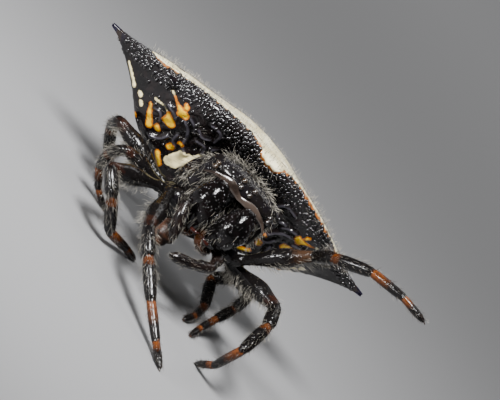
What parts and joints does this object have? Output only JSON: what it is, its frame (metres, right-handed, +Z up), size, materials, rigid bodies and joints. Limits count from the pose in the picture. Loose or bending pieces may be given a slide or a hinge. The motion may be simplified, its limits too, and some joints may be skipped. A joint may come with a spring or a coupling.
{
  "type": "spiny orb weaver spider",
  "caption": "Life-size spiny orb weaver spider standing with one foreleg raised, its broad abdomen drawn out into a long spine on each side.",
  "frame": {"origin": "on the floor, under the middle of the whole animal", "axes": "+Z up, the head faces -Y, the spider's left side is +X"},
  "size_m": [0.016, 0.015, 0.0086],
  "materials": {
    "shell": "glossy black shell with pale hair",
    "abdomen": "waxy cream back, granular glossy black sides, yellow spots below",
    "jaws": "polished black",
    "legs": "glossy dark brown to black with orange rings and pale bristles",
    "spinnerets": "dull orange brown"
  },
  "bodies": {
    "root": {"cephalothorax": "shell", "abdomen": "abdomen", "spinnerets": "spinnerets", "chelicera_left": "jaws", "chelicera_right": "jaws", "pedipalp_left": "legs", "pedipalp_right": "legs", "leg_1_left_femur": "legs", "leg_1_left_tibia": "legs", "leg_1_left_foot": "legs", "leg_2_left_femur": "legs", "leg_2_left_tibia": "legs", "leg_2_left_foot": "legs", "leg_3_left_femur": "legs", "leg_3_left_tibia": "legs", "leg_3_left_foot": "legs", "leg_4_left_femur": "legs", "leg_4_left_tibia": "legs", "leg_4_left_foot": "legs", "leg_1_right_femur": "legs", "leg_1_right_tibia": "legs", "leg_1_right_foot": "legs", "leg_2_right_femur": "legs", "leg_2_right_tibia": "legs", "leg_2_right_foot": "legs", "leg_3_right_femur": "legs", "leg_3_right_tibia": "legs", "leg_3_right_foot": "legs", "leg_4_right_femur": "legs", "leg_4_right_tibia": "legs", "leg_4_right_foot": "legs"}
  },
  "joints": []
}
